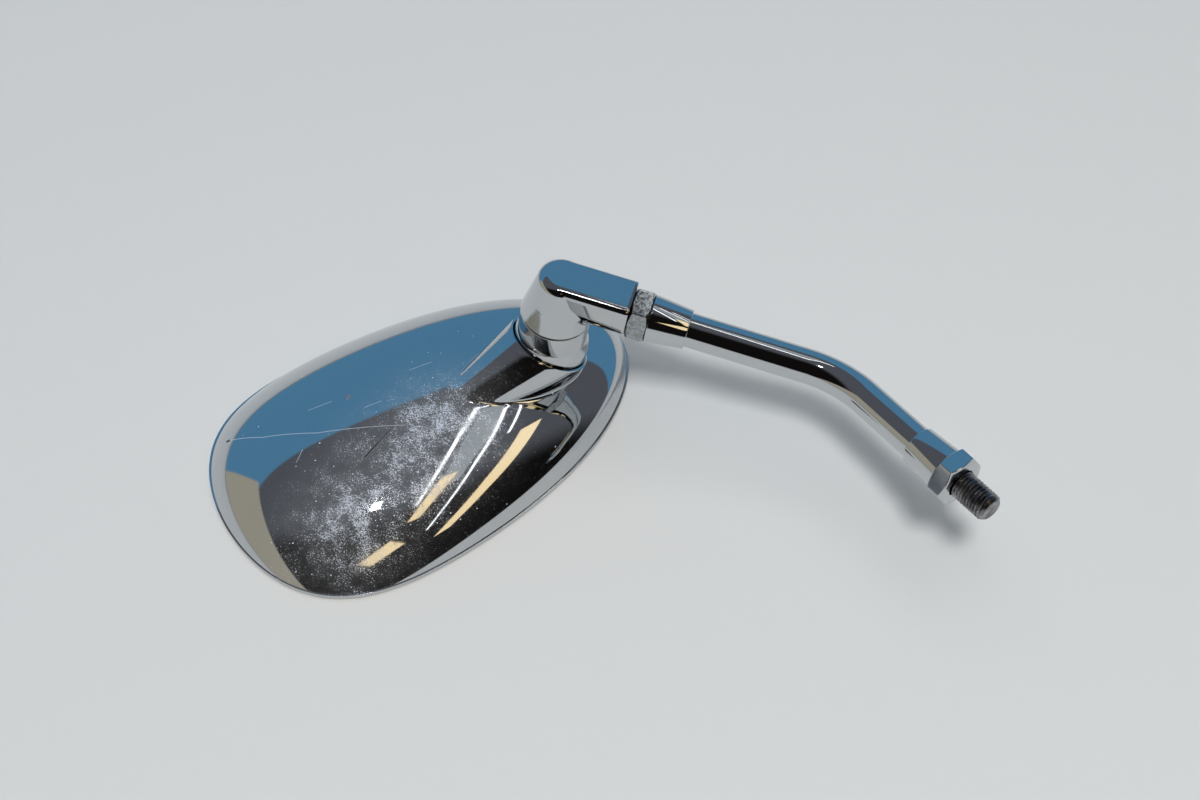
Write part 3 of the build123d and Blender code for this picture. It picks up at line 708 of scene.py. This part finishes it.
jam_nut_place = stem_point + jam_nut_start * arm_axis
jam_nut = hexagon_nut("jam_nut", jam_nut_place, arm_axis, side_axis, jam_nut_length, jam_nut_turn, stud_bore)
jam_nut.data.materials.append(spotted_zinc)
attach(jam_nut, "stem")
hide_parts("jam_nut")

# Upper collar. Turned steel, chromed, tapering from the nut to a step at the tube. It is pressed on the tube's
# end and holds the elbow's stud.
upper_start, upper_length, fit_gap = jam_nut_start + jam_nut_length, 13.6, 0.05
upper_large, upper_small, collar_socket, tube_radius, tube_wall = 8.3, 6.85, 8.0, 6.0, 1.5
upper_end = upper_start + upper_length
upper_profile = eased(
    np.array(
        [
            (upper_large, upper_start),
            (upper_small, upper_end),
            (tube_radius + fit_gap, upper_end),
            (tube_radius + fit_gap, upper_end - collar_socket),
            (stud_bore, upper_end - collar_socket),
            (stud_bore, upper_start),
        ]
    ),
    np.array([0.35, 0.3, 0.1, 0.1, 0.1, 0.2]),
)
upper = grid_piece("upper_collar", lathe(stem_point, arm_axis, side_axis, upper_profile, 200), closed=True)
upper.data.materials.append(bright_chrome)
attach(upper, "stem")
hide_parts("upper_collar")

# Stem. A 12 mm steel tube, bent once on a former, then polished and chromed. Its ends sit in the sockets of the
# two collars.
bend_distance, bend_radius, lower_run = 99.3, 35.0, 51.0
lower_length = 13.4
stud_mount = {mount["name"]: mount for mount in frame["record"]["mounts"]}["stud"]
lower_axis = np.array(stud_mount["axis"])
bend_corner = stem_point + bend_distance * arm_axis
tube_start, tube_end = upper_end - collar_socket, lower_run - lower_length + collar_socket


def bent_frames(count):
    """Places and normals along a straight run, an arc and a second run, by distance from the start, and the one
    direction square to the bend. In the arc the normal turns by the distance along it over the bend's radius."""
    angle = np.arccos(arm_axis @ lower_axis)
    setback = bend_radius * np.tan(angle / 2)
    first, second = bend_distance - tube_start - setback, tube_end - setback
    distance = np.concatenate(
        [
            np.linspace(0, first, count // 5, endpoint=False),
            np.linspace(first, first + bend_radius * angle, count, endpoint=False),
            np.linspace(first + bend_radius * angle, first + bend_radius * angle + second, count // 5),
        ]
    )
    inward = lower_axis - (lower_axis @ arm_axis) * arm_axis
    inward = inward / np.linalg.norm(inward)
    swept = np.clip((distance - first) / bend_radius, 0, angle)[:, None]
    before = np.minimum(distance, first)[:, None]
    after = np.clip(distance - first - bend_radius * angle, 0, None)[:, None]
    arc = bend_radius * (np.sin(swept) * arm_axis + (1 - np.cos(swept)) * inward)
    places = stem_point + (tube_start + before) * arm_axis + arc + after * lower_axis
    normals = np.cos(swept) * inward - np.sin(swept) * arm_axis
    return places, normals, np.cross(arm_axis, inward)


tube_places, tube_normals, tube_side = bent_frames(90)
tube_turn = np.linspace(0, 2 * np.pi, 160, endpoint=False)[None, :, None]
tube_spread = np.cos(tube_turn) * tube_normals[:, None, :] + np.sin(tube_turn) * tube_side
tube_outer = tube_places[:, None, :] + tube_radius * tube_spread
tube_inner = tube_places[::-1, None, :] + (tube_radius - tube_wall) * tube_spread[::-1]
stem = grid_piece("stem_tube", np.concatenate([tube_outer, tube_inner]), closed=True)
stem.data.materials.append(bright_chrome)
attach(stem, "stem")
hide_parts("stem_tube")

# Lower collar. Turned steel, chromed like the upper one, but widening toward the lock nut. It is pressed on the
# tube's other end and holds the mounting stud.
lower_small, lower_large, thread_root = 6.8, 7.6, 4.35
lower_start = lower_run - lower_length
lower_profile = eased(
    np.array(
        [
            (lower_small, lower_start),
            (lower_large, lower_run),
            (thread_root + fit_gap, lower_run),
            (thread_root + fit_gap, tube_end),
            (tube_radius + fit_gap, tube_end),
            (tube_radius + fit_gap, lower_start),
        ]
    ),
    np.array([0.3, 0.25, 0.1, 0.1, 0.1, 0.1]),
)
lower = grid_piece("lower_collar", lathe(bend_corner, lower_axis, post_axis, lower_profile, 200), closed=True)
lower.data.materials.append(bright_chrome)
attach(lower, "stem")
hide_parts("lower_collar")

# Lock nut. A polished and chromed hexagon nut of 17 mm, chamfered at both ends, on the mounting stud.
# It is tightened against the lever's bracket.
lock_nut_length, lock_nut_turn = 6.9, 36.0
lower_side = np.cross(lower_axis, post_axis)
lock_nut_place = bend_corner + lower_run * lower_axis
lock_nut = hexagon_nut("lock_nut", lock_nut_place, lower_axis, lower_side, lock_nut_length, lock_nut_turn, stud_bore)
lock_nut.data.materials.append(bright_chrome)
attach(lock_nut, "stem")
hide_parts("lock_nut")

# Mounting stud. A dark steel stud with a rolled M10 fine thread and a chamfered tip, fast in the lower collar.
# It screws into the lever's bracket.
thread_radius, thread_pitch, stud_length, stud_chamfer, stud_depth = 5.0, 1.25, 13.6, 1.2, 5.0
depth_share, flank_gain, root_flat = 0.6134, 1.25, 0.1
shank_radius, nut_gap, tip_cut = 0.97 * thread_root, 0.02, 0.25
nut_end = lower_run + lock_nut_length
thread_rows = np.linspace(0, stud_length, 210)
thread_turn = np.linspace(0, 2 * np.pi, 96, endpoint=False)


def thread_surface(height, angle):
    """Radius of the thread: a triangle wave of the height less a pitch a turn, flat at crest and root, and never
    past the cone of the chamfer at the tip."""
    phase = (height / thread_pitch - angle / (2 * np.pi)) % 1
    wave = np.clip(flank_gain * (1 - np.abs(2 * phase - 1)) - root_flat, 0, 1)
    depth = depth_share * thread_pitch
    cone = thread_radius - stud_chamfer + np.clip(stud_length - height, 0, None)
    return np.minimum(thread_radius - depth * (1 - wave), cone)


rows, columns = np.meshgrid(thread_rows, thread_turn, indexing="ij")
thread_radii = thread_surface(rows, columns)
spread = np.cos(thread_turn)[:, None] * lower_side + np.sin(thread_turn)[:, None] * np.cross(lower_axis, lower_side)
thread_base = bend_corner + nut_end * lower_axis
thread_rings = thread_base + rows[..., None] * lower_axis + thread_radii[..., None] * spread
shank_ends = np.array([lower_run - stud_depth, nut_end - nut_gap])[:, None, None]
shank_rings = bend_corner + shank_ends * lower_axis + shank_radius * spread
tip_ring = (thread_base + stud_length * lower_axis + (thread_radius - stud_chamfer - tip_cut) * spread)[None]
stud = grid_piece("mount_stud", np.concatenate([shank_rings, thread_rings, tip_ring]), caps=(True, True), sharp=50.0)
stud.data.materials.append(dark_steel)
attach(stud, "stem")
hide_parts("mount_stud")

# Stage. A plain pale bench in a room with a blue wall behind, a grey ceiling with strip lamps, a pale wall on the
# left and a dark side toward the camera, which is what chrome needs round it to show its form. Painted board is matt.
floor_mesh = bpy.data.meshes.new("floor")
floor_half = 12.0
floor_corners = floor_half * np.array([(-1, -1, 0), (1, -1, 0), (1, 1, 0), (-1, 1, 0)])
floor_mesh.from_pydata(floor_corners.tolist(), [], [(0, 1, 2, 3)])
floor = bpy.data.objects.new("floor", floor_mesh)
bpy.context.scene.collection.objects.link(floor)
bench, tree = new_material("pale_painted_bench")
shade(tree, {"Base Color": linear("#d2d3d2"), "Roughness": 0.75})
floor_mesh.materials.append(bench)

world = bpy.data.worlds.new("studio_room")
world.use_nodes = True
bpy.context.scene.world = world
tree = world.node_tree
tree.nodes.clear()
direction = node(tree, "ShaderNodeTexCoord").outputs["Generated"]


def room_side(before, colour, *limits):
    """Room with one more side: its colour where the direction's share toward every given axis passes an edge."""
    mask = None
    for toward, edge, soft in limits:
        share = node(tree, "ShaderNodeVectorMath", {0: direction, 1: toward}, operation="DOT_PRODUCT").outputs["Value"]
        span = {"Value": share, "From Min": edge - soft, "From Max": edge + soft}
        reached = node(tree, "ShaderNodeMapRange", span, interpolation_type="SMOOTHSTEP").outputs[0]
        if mask is not None:
            reached = node(tree, "ShaderNodeMath", {0: mask, 1: reached}, operation="MULTIPLY").outputs[0]
        mask = reached
    mixed = {"Factor": mask, 6: before, 7: linear(colour)}
    return node(tree, "ShaderNodeMix", mixed, data_type="RGBA").outputs[2]


around = room_side(linear("#5e6066"), "#151312", ((0.1, -0.97, -0.2), 0.12, 0.15))
around = room_side(around, "#5b90b4", ((-0.187, 0.799, -0.571), -0.01, 0.015))
around = room_side(around, "#b3ad9c", ((-0.484, 0.198, -0.852), 0.0, 0.015), ((-0.39, -0.883, -0.255), 0.0, 0.015))
around = room_side(around, "#a9a9a7", ((0.0, 0.0, -1.0), -0.01, 0.012))
light = node(tree, "ShaderNodeBackground", {"Color": around, "Strength": 1.0})
node(tree, "ShaderNodeOutputWorld", {"Surface": light.outputs[0]})


def area_lamp(name, place, size, power, mirrored, turn=0.0, colour="#ffffff"):
    """Rectangular lamp that faces down, turned about the upright; mirrored says whether polished metal shows it."""
    lamp = bpy.data.lights.new(name, "AREA")
    lamp.shape, lamp.size, lamp.size_y, lamp.energy = "RECTANGLE", size[0], size[1], power
    lamp.color = linear(colour)[:3]
    holder = bpy.data.objects.new(name, lamp)
    holder.location = place
    holder.rotation_euler = (0, 0, np.radians(turn))
    holder.visible_glossy = mirrored
    bpy.context.scene.collection.objects.link(holder)
    return holder


key_distance, key_toward = 2.6, np.array([0.05, -0.42, 0.906])
key = area_lamp("key_softbox", key_distance * key_toward, (0.4, 0.4), 42.0, False)
key.rotation_euler = (np.radians(24.9), np.radians(3.2), 0)
area_lamp("overhead_softbox", (-0.2, 0.3, 2.2), (2.0, 2.0), 14.0, False)

# Each lamp on the ceiling is given by where the dome sees it: its place to the right and away for each metre up, its
# width and run for each metre up, its turn, how bright it is and its colour.
ceiling, dome_x, dome_y = 1.6, -0.05, -0.02
lamp_rows = [
    ("strip_lamp_0", (0.2865, 0.0565), (0.02, 0.81), 8.3, 3.0, "#ffffff"),
    ("strip_lamp_1", (0.58, -0.24), (0.018, 1.29), 17.5, 3.0, "#ffffff"),
    ("strip_lamp_2", (0.535, 0.23), (0.016, 0.355), 18.2, 3.0, "#ffffff"),
    ("warm_lamp_0", (0.4225, -0.335), (0.09, 0.39), 3.4, 1.5, "#ffe3b0"),
    ("warm_lamp_1", (1.02, -0.58), (0.17, 1.4), 20.6, 1.5, "#ffe3b0"),
    ("warm_lamp_2", (0.33, -1.05), (0.32, 0.5), -37.0, 1.5, "#ffe3b0"),
    ("pale_ceiling_panel", (0.39, 0.1), (0.13, 0.7), 12.0, 0.4, "#e8f2f2"),
]
for name, (x, y), (width, run), turn_out, glow, colour in lamp_rows:
    size = (width * ceiling, run * ceiling)
    lamp_place = (x * ceiling + dome_x, y * ceiling + dome_y, ceiling)
    area_lamp(name, lamp_place, size, glow * np.pi * size[0] * size[1], True, turn_out, colour)
flash_x, flash_y = 0.046 * ceiling - 0.07, -0.202 * ceiling - 0.04
area_lamp("flash_lamp", (flash_x, flash_y, ceiling), (0.09, 0.09), 0.5, True)

# Camera. It looks down at 53 degrees through a 60 mm lens, as in the photograph, from 724 mm off a place on the
# bench under the mirror.
bpy.context.scene.view_settings.view_transform = "Standard"
camera = bpy.data.cameras.new("camera")
camera.lens, camera.sensor_width = 60.0, 36.0
holder = bpy.data.objects.new("camera", camera)
camera_target, camera_distance, camera_elevation = np.array([4.483, 20.669, 0.0]), 724.0, np.radians(53.0)
backward = np.array([0.0, -np.cos(camera_elevation), np.sin(camera_elevation)])
holder.location = (camera_target + camera_distance * backward) * mm
holder.rotation_euler = (np.pi / 2 - camera_elevation, 0, 0)
bpy.context.scene.collection.objects.link(holder)
bpy.context.scene.camera = holder
